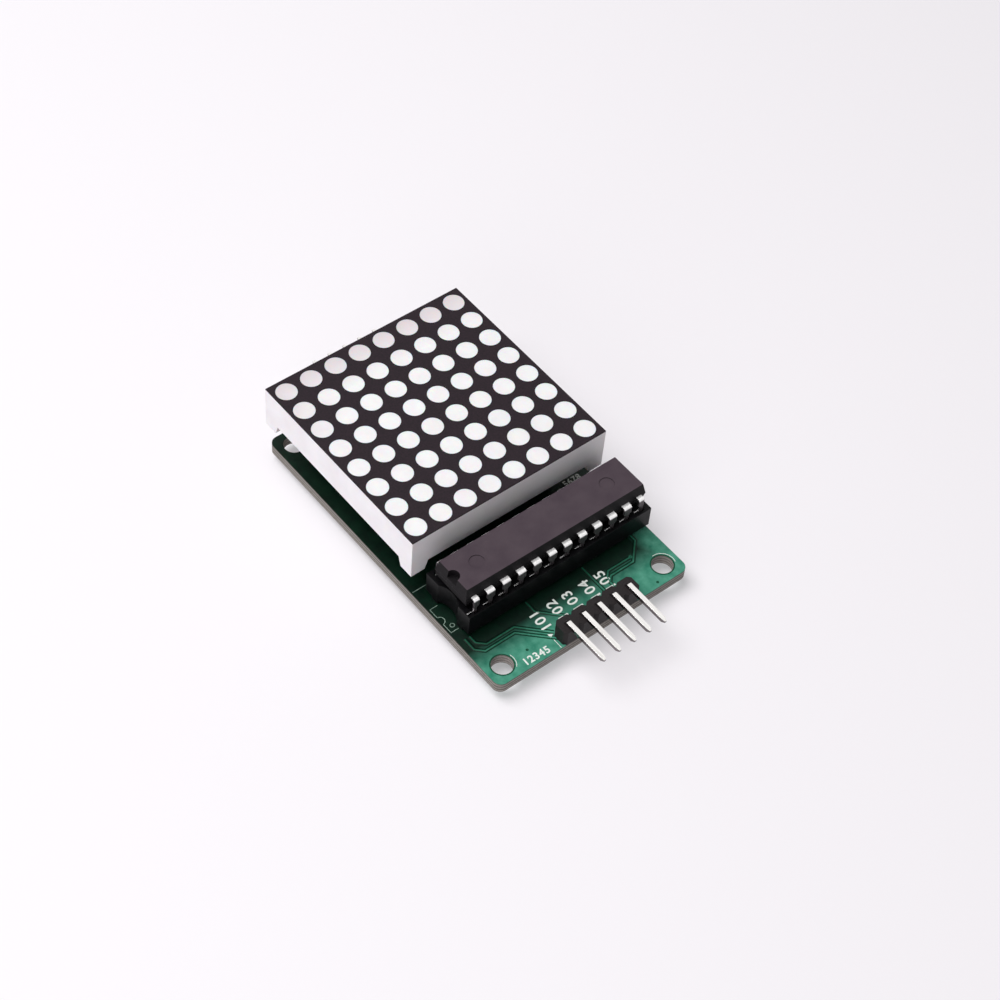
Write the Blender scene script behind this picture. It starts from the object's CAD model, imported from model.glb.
"""Looks of an eight-by-eight dot matrix display on its driver board."""

import math

import bpy
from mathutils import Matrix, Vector


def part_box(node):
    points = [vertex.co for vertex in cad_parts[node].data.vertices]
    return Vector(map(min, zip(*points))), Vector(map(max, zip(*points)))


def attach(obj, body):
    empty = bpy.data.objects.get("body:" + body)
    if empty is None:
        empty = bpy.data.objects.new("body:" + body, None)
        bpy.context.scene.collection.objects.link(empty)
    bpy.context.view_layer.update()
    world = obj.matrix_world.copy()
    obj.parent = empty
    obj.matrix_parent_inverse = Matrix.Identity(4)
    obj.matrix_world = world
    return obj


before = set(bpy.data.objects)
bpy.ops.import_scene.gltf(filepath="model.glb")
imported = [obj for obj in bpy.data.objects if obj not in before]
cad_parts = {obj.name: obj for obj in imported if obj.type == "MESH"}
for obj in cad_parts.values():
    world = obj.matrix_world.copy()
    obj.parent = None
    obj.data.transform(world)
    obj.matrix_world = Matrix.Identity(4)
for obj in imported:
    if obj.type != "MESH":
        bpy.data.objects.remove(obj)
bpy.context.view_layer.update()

MM = 0.001

board_low, board_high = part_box("circuit_board")
header_low, header_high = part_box("input_header")
socket_low, socket_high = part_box("chip_socket")
display_low, display_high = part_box("face_film")
chip_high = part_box("driver_chip")[1]
tails_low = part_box("chip_contacts_front")[0]

# An uneven pattern is darkest at about 0.3 and lightest at about 0.7.
PATTERN_LOW, PATTERN_HIGH = 0.3, 0.7
OVER_PATTERN = {"From Min": PATTERN_LOW, "From Max": PATTERN_HIGH}

MASK_SPECULAR = 0.13
MASK_ROUGHNESS = 0.42
SAWN_ROUGHNESS = 0.75


# --- Small tools ---


def from_hex(code):
    """A linear colour from an sRGB hex code such as 2a2228."""
    parts = [int(code[i : i + 2], 16) / 255 for i in (0, 2, 4)]
    linear = [p / 12.92 if p <= 0.04045 else ((p + 0.055) / 1.055) ** 2.4 for p in parts]
    return (*linear, 1.0)


def add(tree, kind, inputs=None, stops=(), **settings):
    """Adds a shader node with its settings and inputs.

    An input is a plain value, an output, or a node, which then gives its first output. The stops
    are a colour ramp's places and hex codes.
    """
    made = tree.nodes.new("ShaderNode" + kind)
    for name, value in settings.items():
        setattr(made, name, value)
    for socket, value in (inputs or {}).items():
        if isinstance(value, bpy.types.Node):
            value = next(output for output in value.outputs if output.enabled)
        if isinstance(value, bpy.types.NodeSocket):
            tree.links.new(value, made.inputs[socket])
        else:
            made.inputs[socket].default_value = value
    for index, (start, code) in enumerate(stops):
        elements = made.color_ramp.elements
        stop = elements[index] if index < 2 else elements.new(start)
        stop.position = start
        stop.color = from_hex(code)
    return made


def new_material(name):
    """A material with nothing in it yet, and its tree of nodes."""
    material = bpy.data.materials.new(name)
    material.use_nodes = True
    material.node_tree.nodes.clear()
    return material, material.node_tree


def surfaced(material, inputs):
    """The material, closed with one Principled shader that has these inputs."""
    tree = material.node_tree
    shader = add(tree, "BsdfPrincipled", inputs)
    add(tree, "OutputMaterial", {"Surface": shader})
    return material


def shades(dark, light):
    """The colour stops that give an uneven pattern its dark and its light parts."""
    return [(PATTERN_LOW, dark), (PATTERN_HIGH, light)]


def uneven(tree, size_mm, detail=3.0, stretch=(1, 1, 1)):
    """An uneven pattern with features of this size, drawn out along an axis by a small stretch."""
    place = add(tree, "TexCoord").outputs["Object"]
    mapped = add(tree, "Mapping", {"Vector": place, "Scale": stretch})
    inputs = {"Vector": mapped, "Scale": 1 / (size_mm * MM), "Detail": detail}
    return add(tree, "TexNoise", inputs)


def own_place(tree):
    """The X, Y and Z of a point in the piece's own space."""
    place = add(tree, "TexCoord").outputs["Object"]
    return add(tree, "SeparateXYZ", {"Vector": place}).outputs


def looks_upward(tree):
    """One on a level top, zero on an upright face and minus one on an underside."""
    normal = add(tree, "NewGeometry").outputs["Normal"]
    return add(tree, "SeparateXYZ", {"Vector": normal}).outputs["Z"]


def level_share(tree):
    """One on faces that look up, zero on upright ones, and in between on a bend."""
    inputs = {"Value": looks_upward(tree), "From Min": 0.1, "From Max": 0.5}
    return add(tree, "MapRange", inputs)


def rounded_normal(tree, radius_mm, height=None, depth_mm=0.0):
    """The surface normal with softly broken edges, and with the bumps of a height pattern."""
    edge = add(tree, "Bevel", {"Radius": radius_mm * MM}, samples=4)
    if height is None:
        return edge
    return add(tree, "Bump", {"Height": height, "Distance": depth_mm * MM, "Normal": edge})


# --- Materials ---


def poured_share(tree, along):
    """One over the poured copper at the board's front and right, and zero over bare laminate."""
    front = add(
        tree,
        "MapRange",
        {
            "Value": along["Y"],
            "From Min": socket_low.y - 2.0 * MM,
            "From Max": socket_low.y - 5.4 * MM,
        },
    )
    right = add(
        tree,
        "MapRange",
        {"Value": along["X"], "From Min": 12.6 * MM, "From Max": 14.4 * MM, "To Max": 0.75},
    )
    copper = add(tree, "Math", {0: front, 1: right}, operation="MAXIMUM")
    before_display = add(tree, "Math", {0: along["Y"], 1: socket_high.y}, operation="LESS_THAN")
    return add(tree, "Math", {0: copper, 1: before_display}, operation="MULTIPLY")


def mask_colour(tree, along, pattern, on_bare, on_poured):
    """The two greens of the mask, each from a dark and a light shade."""
    bare = add(tree, "ValToRGB", {"Fac": pattern}, shades(*on_bare))
    poured = add(tree, "ValToRGB", {"Fac": pattern}, shades(*on_poured))
    inputs = {"Factor": poured_share(tree, along), "A": bare, "B": poured}
    return add(tree, "Mix", inputs, data_type="RGBA")


def solder_mask_on_laminate():
    """Epoxy mask over glass laminate: dark green, lighter where copper lies under it.

    Its sawn edges show the layers of glass, and the drilled walls are paler.
    """
    material, tree = new_material("solder_mask_on_laminate")
    along = own_place(tree)
    cloudy = uneven(tree, 1.3, 4.0)
    mask = mask_colour(tree, along, cloudy, ("01120b", "042115"), ("2f7d66", "5ba38c"))

    layer_mm = 1.6
    layers = add(
        tree,
        "TexWave",
        {
            "Vector": add(tree, "TexCoord").outputs["Object"],
            "Scale": 1 / (layer_mm * MM),
            "Distortion": 1.2,
            "Detail": 2.0,
            "Detail Scale": 6.0,
        },
        bands_direction="Z",
    ).outputs["Fac"]
    sawn = add(tree, "ValToRGB", {"Fac": layers}, shades("6a6460", "94908a"))
    drilled = add(tree, "ValToRGB", {"Fac": layers}, shades("8f8783", "b3aca8"))

    # Upright faces are drilled walls, except close to the board's outline.
    rim = 0.6 * MM
    inside = []
    for axis, limit in (("X", board_high.x - rim), ("Y", board_high.y - rim)):
        away = add(tree, "Math", {0: along[axis]}, operation="ABSOLUTE")
        inside.append(add(tree, "Math", {0: away, 1: limit}, operation="LESS_THAN"))
    is_hole = add(tree, "Math", {0: inside[0], 1: inside[1]}, operation="MULTIPLY")
    edge = add(tree, "Mix", {"Factor": is_hole, "A": sawn, "B": drilled}, data_type="RGBA")

    level = add(tree, "Math", {0: looks_upward(tree)}, operation="ABSOLUTE")
    is_face = add(tree, "Math", {0: level, 1: 0.5}, operation="GREATER_THAN")
    colour = add(tree, "Mix", {"Factor": is_face, "A": edge, "B": mask}, data_type="RGBA")
    rough = {"Value": is_face, "To Min": SAWN_ROUGHNESS, "To Max": MASK_ROUGHNESS}
    weave = uneven(tree, 0.35, 2.0)
    return surfaced(
        material,
        {
            "Base Color": colour,
            "Roughness": add(tree, "MapRange", rough),
            "Specular IOR Level": MASK_SPECULAR,
            "Normal": rounded_normal(tree, 0.06, weave, 0.006),
        },
    )


def mask_over_copper(name, on_bare, on_poured):
    """Mask over etched copper: as glossy as the board, lighter on copper and darker between."""
    material, tree = new_material(name)
    cloudy = uneven(tree, 0.8)
    return surfaced(
        material,
        {
            "Base Color": mask_colour(tree, own_place(tree), cloudy, on_bare, on_poured),
            "Roughness": MASK_ROUGHNESS,
            "Specular IOR Level": MASK_SPECULAR,
        },
    )


def screened_ink(name, thin, thick):
    """White epoxy legend ink: opaque and matt, a little uneven at its edges."""
    material, tree = new_material(name)
    cover = uneven(tree, 0.25)
    colour = add(tree, "ValToRGB", {"Fac": cover}, shades(thin, thick))
    return surfaced(material, {"Base Color": colour, "Roughness": 0.6})


def injection_moulded_white():
    """White ABS from a satin tool: bright, slightly warm, with the faintest orange peel."""
    material, tree = new_material("injection_moulded_white")
    cloudy = uneven(tree, 4.0)
    peel = uneven(tree, 0.25, 2.0)
    return surfaced(
        material,
        {
            "Base Color": add(tree, "ValToRGB", {"Fac": cloudy}, shades("e9e5e8", "f1eef1")),
            "Roughness": 0.42,
            "Subsurface Weight": 0.12,
            "Subsurface Scale": 0.6 * MM,
            "Normal": rounded_normal(tree, 0.12, peel, 0.004),
        },
    )


def printed_film():
    """Screen-printed satin ink on the display's face: near black with a plum cast.

    The screen's specks are finer than this, and are drawn 0.22 mm wide so that they show.
    """
    material, tree = new_material("printed_film")
    specks = uneven(tree, 0.22, 4.0)
    rough = {"Value": specks, **OVER_PATTERN, "To Min": 0.4, "To Max": 0.5}
    return surfaced(
        material,
        {
            "Base Color": add(tree, "ValToRGB", {"Fac": specks}, shades("140b12", "24161f")),
            "Roughness": add(tree, "MapRange", rough),
            "Specular IOR Level": 0.18,
            "Normal": rounded_normal(tree, 0.08, specks, 0.003),
        },
    )


def cast_milky_resin():
    """Epoxy cast with white diffuser in each well: soft and bright, greyer at the rear left."""
    material, tree = new_material("cast_milky_resin")
    along = own_place(tree)
    middle = (display_low + display_high) / 2
    half = (display_high.x - display_low.x) / 2

    def toward(axis, start, end):
        """Zero up to the start and one from the end on."""
        return add(tree, "MapRange", {"Value": along[axis], "From Min": start, "From Max": end})

    rear = toward("Y", middle.y + 0.6 * half, display_high.y)
    left = toward("X", middle.x - 0.55 * half, display_low.x)
    behind = toward("Y", middle.y, display_high.y)
    rear_left = add(tree, "Math", {0: left, 1: behind}, operation="MULTIPLY")
    thinner = add(tree, "Math", {0: rear, 1: rear_left}, operation="MAXIMUM")
    cloudy = uneven(tree, 2.6, 4.0)
    thick = add(tree, "ValToRGB", {"Fac": cloudy}, shades("f4f0f2", "fbf9fa"))
    colours = {"Factor": thinner, "A": thick, "B": from_hex("dcd1d5")}
    return surfaced(
        material,
        {
            "Base Color": add(tree, "Mix", colours, data_type="RGBA"),
            "Roughness": 0.3,
            "Subsurface Weight": 0.3,
            "Subsurface Scale": 0.5 * MM,
            "Coat Weight": 0.15,
            "Coat Roughness": 0.15,
            "Normal": rounded_normal(tree, 0.05),
        },
    )


def led_crystal():
    """Diced semiconductor under clear resin: small, sharp and yellowish."""
    material, tree = new_material("led_crystal")
    diced = uneven(tree, 0.1)
    colour = add(tree, "ValToRGB", {"Fac": diced}, shades("9c8a4c", "cdbb78"))
    return surfaced(material, {"Base Color": colour, "Roughness": 0.2})


def bare_glass_laminate():
    """Glass laminate with no mask: straw-coloured, with the weave showing through."""
    material, tree = new_material("bare_glass_laminate")
    weave = uneven(tree, 0.5, 2.0)
    colour = add(tree, "ValToRGB", {"Fac": weave}, shades("a89c6c", "c2b88a"))
    return surfaced(material, {"Base Color": colour, "Roughness": 0.5})


def poured_resin():
    """Epoxy poured into the display's back: smooth, cream-coloured and slightly uneven."""
    material, tree = new_material("poured_resin")
    pooled = uneven(tree, 6.0, 2.0)
    return surfaced(
        material,
        {
            "Base Color": add(tree, "ValToRGB", {"Fac": pooled}, shades("c9c3b2", "ddd8ca")),
            "Roughness": 0.25,
            "Normal": rounded_normal(tree, 0.05, pooled, 0.08),
        },
    )


def bright_tin_plate():
    """Tin plated on drawn brass wire: bright above with drawing lines, and greyer at its sides.

    The lines are finer than this, and are drawn 0.12 mm wide so that they show.
    """
    material, tree = new_material("bright_tin_plate")
    lines = uneven(tree, 0.12, 2.0, (1, 0.05, 1))
    plated = add(tree, "ValToRGB", {"Fac": lines}, shades("e9e6e3", "f8f6f4"))
    colours = {"Factor": level_share(tree), "A": from_hex("7c7577"), "B": plated}
    rough = {"Value": lines, **OVER_PATTERN, "To Min": 0.14, "To Max": 0.2}
    return surfaced(
        material,
        {
            "Base Color": add(tree, "Mix", colours, data_type="RGBA"),
            "Metallic": 1.0,
            "Roughness": add(tree, "MapRange", rough),
            "Normal": rounded_normal(tree, 0.05, lines, 0.0005),
        },
    )


def matt_tin_plate():
    """Matt tin on a stamped lead frame: nearly white on flat faces, and dull on upright ones.

    The tin's grains are finer than this, and are drawn 0.4 mm wide so that they show.
    """
    material, tree = new_material("matt_tin_plate")
    grains = uneven(tree, 0.4, 2.0)
    plated = add(tree, "ValToRGB", {"Fac": grains}, shades("f6f4f4", "fdfcfc"))
    colours = {"Factor": level_share(tree), "A": from_hex("514c4f"), "B": plated}
    rough = {"Value": grains, **OVER_PATTERN, "To Min": 0.34, "To Max": 0.42}
    return surfaced(
        material,
        {
            "Base Color": add(tree, "Mix", colours, data_type="RGBA"),
            "Metallic": 0.6,
            "Roughness": add(tree, "MapRange", rough),
            "Normal": rounded_normal(tree, 0.04),
        },
    )


def tumbled_tin_plate():
    """Tin on small stamped leaves: their lips are rounded by tumbling, and catch the light."""
    material, tree = new_material("tumbled_tin_plate")
    grains = uneven(tree, 0.2)
    return surfaced(
        material,
        {
            "Base Color": add(tree, "ValToRGB", {"Fac": grains}, shades("f6f4f4", "fdfcfc")),
            "Metallic": 1.0,
            "Roughness": 0.2,
            "Normal": rounded_normal(tree, 0.2),
        },
    )


def flash_gold():
    """A thin gold flash on turned brass contacts: yellow and smooth, with marks of turning."""
    material, tree = new_material("flash_gold")
    turned = uneven(tree, 0.3, 2.0, (1, 1, 8))
    rough = {"Value": turned, **OVER_PATTERN, "To Min": 0.22, "To Max": 0.34}
    return surfaced(
        material,
        {
            "Base Color": add(tree, "ValToRGB", {"Fac": turned}, shades("c79f4a", "e2c071")),
            "Metallic": 1.0,
            "Roughness": add(tree, "MapRange", rough),
        },
    )


def glass_filled_black():
    """Glass-filled black polyester: dark grey with a dry satin skin and pale specks of glass.

    The fibres are finer than this, and are drawn 0.14 mm wide so that they show.
    """
    material, tree = new_material("glass_filled_black")
    specks = uneven(tree, 0.14)
    rough = {"Value": specks, **OVER_PATTERN, "To Min": 0.42, "To Max": 0.55}
    return surfaced(
        material,
        {
            "Base Color": add(tree, "ValToRGB", {"Fac": specks}, shades("151112", "262122")),
            "Roughness": add(tree, "MapRange", rough),
            "Specular IOR Level": 0.18,
            "Normal": rounded_normal(tree, 0.07, specks, 0.004),
        },
    )


def glossy_socket_plastic():
    """Black polyester from a polished tool: deep black, with soft highlights on its edges."""
    material, tree = new_material("glossy_socket_plastic")
    ripple = uneven(tree, 0.6)
    rough = {"Value": ripple, **OVER_PATTERN, "To Min": 0.3, "To Max": 0.4}
    return surfaced(
        material,
        {
            "Base Color": add(tree, "ValToRGB", {"Fac": ripple}, shades("070708", "0e0d10")),
            "Roughness": add(tree, "MapRange", rough),
            "Specular IOR Level": 0.1,
            "Normal": rounded_normal(tree, 0.12, ripple, 0.008),
        },
    )


def transfer_moulded_epoxy():
    """Chip epoxy: blasted and paler on its top, near black on its drafted sides.

    The blasted grain is finer than this, and is drawn 0.12 mm wide so that it shows.
    """
    material, tree = new_material("transfer_moulded_epoxy")
    grain = uneven(tree, 0.12, 4.0)
    cloudy = uneven(tree, 3.0)
    blasted = add(tree, "ValToRGB", {"Fac": cloudy}, shades("443941", "4e434a"))

    # The top is the level face near the chip's highest point, and not a ledge below it.
    is_level = add(tree, "Math", {0: looks_upward(tree), 1: 0.9}, operation="GREATER_THAN")
    ledge = {0: own_place(tree)["Z"], 1: chip_high.z - 0.25 * MM}
    is_high = add(tree, "Math", ledge, operation="GREATER_THAN")
    is_top = add(tree, "Math", {0: is_level, 1: is_high}, operation="MULTIPLY")
    colours = {"Factor": is_top, "A": from_hex("0c090c"), "B": blasted}
    rough = {"Value": grain, **OVER_PATTERN, "To Min": 0.5, "To Max": 0.62}
    return surfaced(
        material,
        {
            "Base Color": add(tree, "Mix", colours, data_type="RGBA"),
            "Roughness": add(tree, "MapRange", rough),
            "Specular IOR Level": 0.14,
            "Normal": rounded_normal(tree, 0.06, grain, 0.01),
        },
    )


def wetted_solder():
    """Tin-lead solder that froze from a wave: bright, smooth and faintly rippled."""
    material, tree = new_material("wetted_solder")
    ripple = uneven(tree, 0.5, 2.0)
    return surfaced(
        material,
        {
            "Base Color": add(tree, "ValToRGB", {"Fac": ripple}, shades("b9bbbf", "d6d8db")),
            "Metallic": 1.0,
            "Roughness": 0.18,
            "Normal": rounded_normal(tree, 0.15, ripple, 0.03),
        },
    )


def lacquered_resistor():
    """Sprayed lacquer over a film resistor: glossy blue, with painted rings of colour."""
    material, tree = new_material("lacquered_resistor")
    low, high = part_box("resistor_body")
    lacquer, black, brown, red = "4f86b8", "1d1a1a", "6a3a1e", "b3402c"
    painted = [(0.0, lacquer)]
    for start, end, colour in (
        (0.08, 0.15, black),
        (0.3, 0.36, brown),
        (0.46, 0.52, black),
        (0.62, 0.68, red),
        (0.85, 0.92, brown),
    ):
        painted += [(start, colour), (end, lacquer)]
    ends = {"Value": own_place(tree)["X"], "From Min": low.x, "From Max": high.x}
    rings = add(tree, "ValToRGB", {"Fac": add(tree, "MapRange", ends)}, painted)
    rings.color_ramp.interpolation = "CONSTANT"
    return surfaced(
        material,
        {"Base Color": rings, "Roughness": 0.28, "Coat Weight": 0.4, "Coat Roughness": 0.1},
    )


def dipped_ceramic():
    """Ceramic dipped in phenolic: ochre, with the soft unevenness of a dip coat."""
    material, tree = new_material("dipped_ceramic")
    coat = uneven(tree, 0.9)
    return surfaced(
        material,
        {
            "Base Color": add(tree, "ValToRGB", {"Fac": coat}, shades("b0762f", "c98d42")),
            "Roughness": 0.4,
            "Normal": rounded_normal(tree, 0.3, coat, 0.04),
        },
    )


def shrunk_sleeve():
    """A heat-shrunk sleeve on an aluminium can: dark blue, with a pale stripe along it."""
    material, tree = new_material("shrunk_sleeve")
    low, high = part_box("capacitor_can")
    middle = (low + high) / 2
    along = own_place(tree)
    sideways = add(tree, "Math", {0: along["Y"], 1: middle.y}, operation="SUBTRACT")
    away = add(tree, "Math", {0: sideways}, operation="ABSOLUTE")
    is_narrow = add(tree, "Math", {0: away, 1: 0.8 * MM}, operation="LESS_THAN")
    is_above = add(tree, "Math", {0: along["Z"], 1: middle.z}, operation="GREATER_THAN")
    stripe = add(tree, "Math", {0: is_narrow, 1: is_above}, operation="MULTIPLY")
    colours = {"Factor": stripe, "A": from_hex("1f2436"), "B": from_hex("c9ccd2")}
    return surfaced(
        material,
        {
            "Base Color": add(tree, "Mix", colours, data_type="RGBA"),
            "Roughness": 0.3,
            "Normal": rounded_normal(tree, 0.25),
        },
    )


def moulded_rubber():
    """A butyl rubber bung: dull black."""
    material, tree = new_material("moulded_rubber")
    grain = uneven(tree, 0.2)
    colour = add(tree, "ValToRGB", {"Fac": grain}, shades("161616", "222222"))
    return surfaced(material, {"Base Color": colour, "Roughness": 0.75})


green_mask = solder_mask_on_laminate()
copper_mask = mask_over_copper("mask_on_copper", ("114533", "1a5640"), ("32836b", "5aa48d"))
gap_mask = mask_over_copper("mask_between_copper", ("01120b", "031d13"), ("0a402c", "115039"))
ink = screened_ink("screened_ink", "dfe6e0", "f4f6f2")
sparse_ink = screened_ink("sparse_screened_ink", "6f8a7c", "a3b5a9")
socket_plastic = glossy_socket_plastic()
header_plastic = glass_filled_black()
bright_tin = bright_tin_plate()
matt_tin = matt_tin_plate()
solder = wetted_solder()

# Each name is the start of the names of one family of solids.
FINISHES = {
    "circuit_board": green_mask,
    "display_shell": injection_moulded_white(),
    "face_film": printed_film(),
    "dot_row": cast_milky_resin(),
    "led_dies": led_crystal(),
    "matrix_board": bare_glass_laminate(),
    "back_fill": poured_resin(),
    "display_pins": bright_tin,
    "display_socket": socket_plastic,
    "display_contacts": flash_gold(),
    "chip_socket": socket_plastic,
    "chip_contacts": tumbled_tin_plate(),
    "driver_chip": transfer_moulded_epoxy(),
    "chip_leads": matt_tin,
    "input_header": header_plastic,
    "output_header": header_plastic,
    "input_pin": bright_tin,
    "output_pin": bright_tin,
    "resistor_body": lacquered_resistor(),
    "resistor_leads": bright_tin,
    "ceramic_capacitor": dipped_ceramic(),
    "ceramic_leads": bright_tin,
    "capacitor_can": shrunk_sleeve(),
    "capacitor_bung": moulded_rubber(),
    "capacitor_leads": bright_tin,
    "chip_solder": solder,
    "display_solder": solder,
    "input_solder": solder,
    "output_solder": solder,
    "part_solder": solder,
}


def dress_solids():
    """Gives every solid of the frame the finish of its family of names."""
    for name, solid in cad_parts.items():
        family = next(start for start in FINISHES if name.startswith(start))
        solid.data.materials.clear()
        solid.data.materials.append(FINISHES[family])


# --- Shaping tools ---


def deselect():
    """Leaves nothing selected for the next operator."""
    bpy.ops.object.select_all(action="DESELECT")


def finish_piece(piece, name, material):
    """Leaves the piece at the origin with its place in its mesh, and puts it on the part."""
    deselect()
    piece.select_set(True)
    bpy.context.view_layer.objects.active = piece
    bpy.ops.object.transform_apply(location=True, rotation=True, scale=True)
    piece.name = name
    piece.data.name = name
    piece.data.materials.clear()
    piece.data.materials.append(material)
    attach(piece, "root")


def join(pieces):
    """One object from several, which stay separate shells in its mesh."""
    deselect()
    for piece in pieces:
        piece.select_set(True)
    bpy.context.view_layer.objects.active = pieces[0]
    if len(pieces) > 1:
        bpy.ops.object.join()
    return bpy.context.view_layer.objects.active


def raised_lines(paths, width_mm, height_mm, level):
    """Low rounded lines on a level, one for each path of points in millimetres."""
    curve = bpy.data.curves.new("lines", "CURVE")
    curve.dimensions = "3D"
    curve.bevel_depth = width_mm * MM / 2
    curve.bevel_resolution = 1
    curve.use_fill_caps = True
    for path in paths:
        spline = curve.splines.new("POLY")
        spline.points.add(len(path) - 1)
        for point, (x, y) in zip(spline.points, path):
            point.co = (x * MM, y * MM, 0, 1)
    lines = bpy.data.objects.new("lines", curve)
    bpy.context.collection.objects.link(lines)
    deselect()
    lines.select_set(True)
    bpy.context.view_layer.objects.active = lines
    bpy.ops.object.convert(target="MESH")
    lines = bpy.context.view_layer.objects.active
    lines.scale = (1, 1, 2 * height_mm / width_mm)
    lines.location = (0, 0, level)
    return lines


def thicken_and_close(height_mm):
    """Ends an edit: extrudes what is selected upward, and turns all faces outward."""
    bpy.ops.mesh.extrude_region_move(TRANSFORM_OT_translate={"value": (0, 0, height_mm * MM)})
    bpy.ops.mesh.select_all(action="SELECT")
    bpy.ops.mesh.normals_make_consistent(inside=False)
    bpy.ops.object.mode_set(mode="OBJECT")
    return bpy.context.view_layer.objects.active


def ring(level, inner_mm, outer_mm, height_mm):
    """A flat ring round the origin, made from a disc by an inset and an extrusion."""
    deselect()
    bpy.ops.mesh.primitive_circle_add(
        vertices=40, radius=outer_mm * MM, fill_type="NGON", location=(0, 0, level)
    )
    bpy.ops.object.mode_set(mode="EDIT")
    bpy.ops.mesh.inset(thickness=(outer_mm - inner_mm) * MM)
    bpy.ops.mesh.delete(type="FACE")
    bpy.ops.mesh.select_all(action="SELECT")
    return thicken_and_close(height_mm)


def copies(piece, places):
    """The piece, modelled at the origin, copied to each place with its own mesh."""
    made = []
    for x, y in places:
        copy = piece.copy()
        copy.data = piece.data.copy()
        copy.location = piece.location + Vector((x * MM, y * MM, 0))
        bpy.context.collection.objects.link(copy)
        made.append(copy)
    bpy.data.objects.remove(piece)
    return join(made)


def printed_number(text, x, y, turn_deg, size_mm):
    """A number in legend ink on the board, with its baseline's start at x, y."""
    deselect()
    bpy.ops.object.text_add(location=(x * MM, y * MM, top))
    number = bpy.context.view_layer.objects.active
    number.data.body = text
    number.data.size = size_mm * MM
    number.data.extrude = INK_HEIGHT * MM
    number.data.offset = INK_SPREAD * MM
    number.data.space_character = 1.12
    number.data.align_x = "LEFT"
    number.data.resolution_u = 4
    number.rotation_euler.z = math.radians(turn_deg)
    bpy.ops.object.convert(target="MESH")
    return bpy.context.view_layer.objects.active


def arc(x, y, radius_mm, start_deg, end_deg, steps=16):
    """Points along an arc, in millimetres."""
    turns = [start_deg + (end_deg - start_deg) * i / steps for i in range(steps + 1)]
    return [
        (x + radius_mm * math.cos(math.radians(t)), y + radius_mm * math.sin(math.radians(t)))
        for t in turns
    ]


# --- Board artwork, in millimetres ---

TRACE_WIDTH = 0.28
TRACE_HEIGHT = 0.035
GAP_WIDTH = 0.66
GAP_HEIGHT = 0.012
PAD_HEIGHT = 0.03
INK_WIDTH = 0.1
INK_HEIGHT = 0.02
INK_SPREAD = 0.035

PIN_PITCH = 2.54
CHIP_PINS = 12
DISPLAY_PINS = 8
HEADER_PINS = 5
HOLE_X, HOLE_Y = 13.5, 22.5
HOLE_RADIUS = 1.5
TRACK_VIA = (10.9, -19.05)
PLUGGED_VIAS = [(-9.5, -22.57), (11.1, -24.3)]

top = board_high.z
under = board_low.z
board_front = -board_high.y / MM
socket_mid_x = (socket_low.x + socket_high.x) / 2 / MM
socket_mid_y = (socket_low.y + socket_high.y) / 2 / MM
pin_y = (header_low.y + header_high.y) / 2 / MM
pin_x = [
    sum(corner.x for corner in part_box(f"input_pin_{pin}")) / 2 / MM
    for pin in range(1, HEADER_PINS + 1)
]


def top_trace_paths():
    """Tracks that leave the input header for the chip and the board's left side."""
    first, second, _, fourth, last = pin_x
    to_socket = -16.6
    return [
        [
            (first - 0.8, pin_y),
            (-9.1, -19.55),
            (-13.9, -19.55),
            (-14.9, -18.55),
            (-14.9, to_socket),
        ],
        [
            (first - 0.9, pin_y + 1.3),
            (-8.6, -18.8),
            (-13.1, -18.8),
            (-14.1, -17.8),
            (-14.1, to_socket),
        ],
        [(second, pin_y), (second, -21.9), (-4.9, -18.5), (-4.9, to_socket)],
        [
            (last, pin_y),
            (last, -20.6),
            (6.85, -19.85),
            (10.7, -19.85),
            (13.25, -17.3),
            (13.25, -16.2),
        ],
        [(last, -20.6), (6.3, -19.8), (7.05, -19.05), TRACK_VIA],
        [(fourth, pin_y), (fourth, -22.3), (4.6, -21.2), (4.6, to_socket)],
    ]


def row_of_pins(count, middle=0.0):
    """The x of each pin in a row."""
    return [middle + (i - (count - 1) / 2) * PIN_PITCH for i in range(count)]


def under_trace_paths():
    """Tracks on the underside, from the chip to the display's front and rear rows of pins."""
    chip_y, front_y, rear_y = (
        sum(c.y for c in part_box(name)) / 2 / MM
        for name in ("chip_contacts_rear", "display_pins_front", "display_pins_rear")
    )
    display_x = row_of_pins(DISPLAY_PINS)
    fan_out_y = -6
    paths = []
    for start, end in zip(row_of_pins(CHIP_PINS, socket_mid_x)[2:10], display_x):
        jog = abs(start - end)
        paths.append([(start, chip_y), (start, fan_out_y), (end, fan_out_y + jog), (end, front_y)])
    for index, lane in enumerate((13.2, 12.4, 11.6)):
        bend_y = rear_y - 4 - index
        for x, side in ((display_x[-1 - index], lane), (display_x[index], -lane)):
            paths.append([(side, chip_y + 1), (side, bend_y), (x, rear_y - 2), (x, rear_y)])
    return paths


def draw_traces():
    """Tracks on both faces, and wider and lower dark gaps on either side of them."""
    for name, level, paths in (
        ("top", top, top_trace_paths()),
        ("under", under, under_trace_paths()),
    ):
        gaps = raised_lines(paths, GAP_WIDTH, GAP_HEIGHT, level)
        finish_piece(gaps, f"mask_gaps_{name}", gap_mask)
        tracks = raised_lines(paths, TRACE_WIDTH, TRACE_HEIGHT, level)
        finish_piece(tracks, f"mask_tracks_{name}", copper_mask)


def draw_vias():
    """The via at the end of a track, and two that the mask has plugged."""
    bead = copies(ring(top, 0.1, 0.26, PAD_HEIGHT), [TRACK_VIA])
    finish_piece(bead, "via_ring", copper_mask)
    dimples = copies(ring(top, 0.02, 0.2, GAP_HEIGHT), PLUGGED_VIAS)
    finish_piece(dimples, "plugged_vias", gap_mask)


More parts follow.
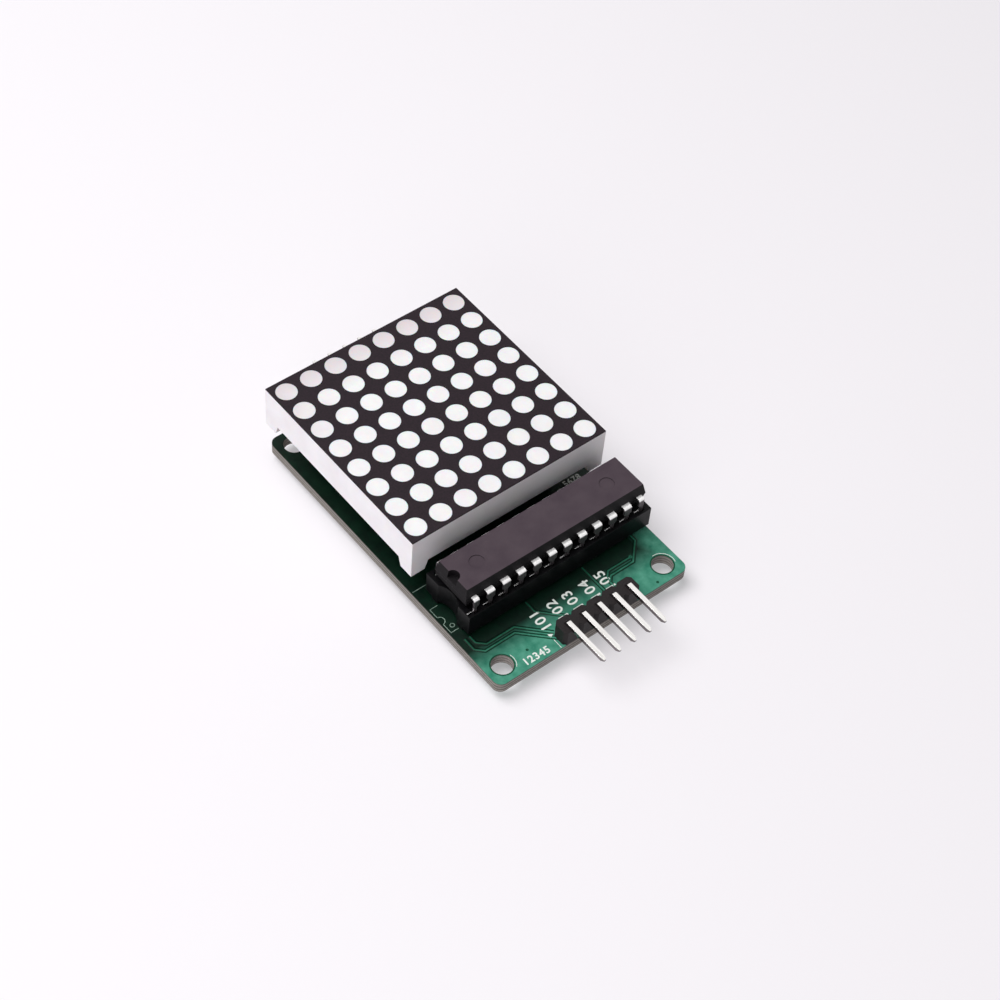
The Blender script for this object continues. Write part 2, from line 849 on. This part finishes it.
def draw_hole_rims():
    """A dark ring round each mounting hole, where the copper stops short of it."""
    holes = [(x, y) for x in (-HOLE_X, HOLE_X) for y in (-HOLE_Y, HOLE_Y)]
    upper = ring(top, HOLE_RADIUS, 1.68, GAP_HEIGHT)
    lower = ring(under - GAP_HEIGHT * MM, HOLE_RADIUS, 1.9, GAP_HEIGHT)
    rims = join([copies(upper, holes), copies(lower, holes)])
    finish_piece(rims, "hole_rims", gap_mask)


def draw_legend():
    """Numbers in place of the pins' names, and the outlines of the parts."""
    beside = (-0.45, -0.15, -0.15, 0.25, 0.3)
    numbers = [
        printed_number(f"{101 + i}", x + off, header_high.y / MM + 0.7, 90, 2.15)
        for i, (x, off) in enumerate(zip(pin_x, beside))
    ]
    numbers.append(printed_number("12345", -11.2, -24.4, -2, 1.5))
    numbers.append(printed_number("5678", 11.6, -4.9, 0, 1.3))
    finish_piece(join(numbers), "legend_numbers", ink)

    left, right = -15.65, 15.75
    corner = left + 1.2
    rear, front = socket_mid_y + 1.8, socket_mid_y - 2.65
    outlines = [
        [(corner, rear), (left, rear), (left, socket_mid_y + 0.25)],
        arc(left, socket_mid_y - 0.4, 0.62, 90, -90),
        [(left, socket_mid_y - 1.0), (left, front), (corner, front)],
        [(left - 0.1, -6.8), (right, -6.8)],
        arc(left + 0.85, socket_mid_y - 1.8, 0.3, 0, 360),
    ]
    outlines = raised_lines(outlines, INK_WIDTH, INK_HEIGHT, top)
    finish_piece(outlines, "legend_outlines", sparse_ink)

    beside_header = pin_x[0] - 1.65
    marks = [
        [(beside_header, pin_y + 0.4), (beside_header, board_front + 0.1)],
        arc(-HOLE_X, -HOLE_Y, 1.84, -45, 20),
        arc(HOLE_X, -HOLE_Y, 1.84, -20, 95),
    ]
    marks = raised_lines(marks, INK_WIDTH, INK_HEIGHT, top)
    finish_piece(marks, "legend_marks", ink)


def draw_pin_one_mark():
    """A small solid arrow beside the first pin of the input header."""
    deselect()
    bpy.ops.mesh.primitive_circle_add(
        vertices=3,
        radius=0.42 * MM,
        fill_type="NGON",
        location=((pin_x[0] - 1.6) * MM, (pin_y + 1.15) * MM, top),
        rotation=(0, 0, math.radians(-90)),
    )
    bpy.ops.object.mode_set(mode="EDIT")
    finish_piece(thicken_and_close(INK_HEIGHT), "pin_one_mark", ink)


# --- Floor, lights and camera, in metres ---

FLOOR_WIDTH = 4
FLOOR_COLOUR = "faf6fb"
FLOOR_GLOW = 0.35
WORLD_LIGHT = 0.18
WHITE = (1, 1, 1, 1)
BLACK = (0, 0, 0, 1)


def seen_rays(tree):
    """One for what is seen straight or in metal or glass, and zero for scattered light."""
    rays = add(tree, "LightPath").outputs
    indirect = {0: rays["Is Glossy Ray"], 1: rays["Is Transmission Ray"]}
    mirrored = add(tree, "Math", indirect, operation="MAXIMUM")
    return add(tree, "Math", {0: rays["Is Camera Ray"], 1: mirrored}, operation="MAXIMUM")


def pale_floor():
    """Plain matt white paper. A share of what is seen of it is glow, so that it stays pale."""
    material, tree = new_material("pale_floor")
    glow = add(tree, "Math", {0: seen_rays(tree), 1: FLOOR_GLOW}, operation="MULTIPLY")
    dimming = {"Value": seen_rays(tree), "To Min": 1.0, "To Max": 1 - FLOOR_GLOW}
    share = add(tree, "MapRange", dimming)
    colours = {"Factor": share, "A": BLACK, "B": from_hex(FLOOR_COLOUR)}
    return surfaced(
        material,
        {
            "Base Color": add(tree, "Mix", colours, data_type="RGBA"),
            "Roughness": 0.9,
            "Specular IOR Level": 0.1,
            "Emission Color": from_hex("fffcff"),
            "Emission Strength": glow,
        },
    )


def lay_floor():
    """A plain floor under the pin tails."""
    deselect()
    bpy.ops.mesh.primitive_plane_add(size=FLOOR_WIDTH, location=(0, 0, tails_low.z))
    floor = bpy.context.view_layer.objects.active
    floor.name = "floor"
    floor.data.materials.append(pale_floor())


def soft_box(name, place, size, power):
    """A square lamp that looks at the display."""
    lamp = bpy.data.lights.new(name, "AREA")
    lamp.shape = "SQUARE"
    lamp.size = size
    lamp.energy = power
    stand = bpy.data.objects.new(name, lamp)
    stand.location = place
    aim = (display_low + display_high) / 2 - Vector(place)
    stand.rotation_euler = aim.to_track_quat("-Z", "Y").to_euler()
    bpy.context.collection.objects.link(stand)


def light_world():
    """Even light from all round, seen as white."""
    world = bpy.data.worlds.new("studio")
    bpy.context.scene.world = world
    world.use_nodes = True
    tree = world.node_tree
    tree.nodes.clear()
    even = add(tree, "Background", {"Color": WHITE, "Strength": WORLD_LIGHT})
    seen = add(tree, "Background", {"Color": WHITE, "Strength": 1.0})
    mixed = add(tree, "MixShader", {0: seen_rays(tree), 1: even, 2: seen})
    add(tree, "OutputWorld", {"Surface": mixed})


def place_camera():
    """The camera stands in front of the board's left corner and looks down over the chip."""
    lens = bpy.data.cameras.new("camera")
    lens.lens = 83.64
    lens.sensor_width = 36
    lens.clip_start = 0.01
    camera = bpy.data.objects.new("camera", lens)
    camera.location = (-130.46 * MM, -144.43 * MM, 242.28 * MM)
    camera.rotation_euler = (math.radians(38.97), math.radians(-3.48), math.radians(-38.74))
    bpy.context.collection.objects.link(camera)
    bpy.context.scene.camera = camera


place_camera()
lay_floor()
light_world()
soft_box("left_box", place=(-0.4, -0.2, 0.16), size=0.3, power=0.6)
soft_box("top_box", place=(-0.16, 0.16, 0.5), size=0.4, power=2.75)
dress_solids()
draw_traces()
draw_vias()
draw_hole_rims()
draw_legend()
draw_pin_one_mark()

bpy.context.scene.view_settings.view_transform = "Standard"
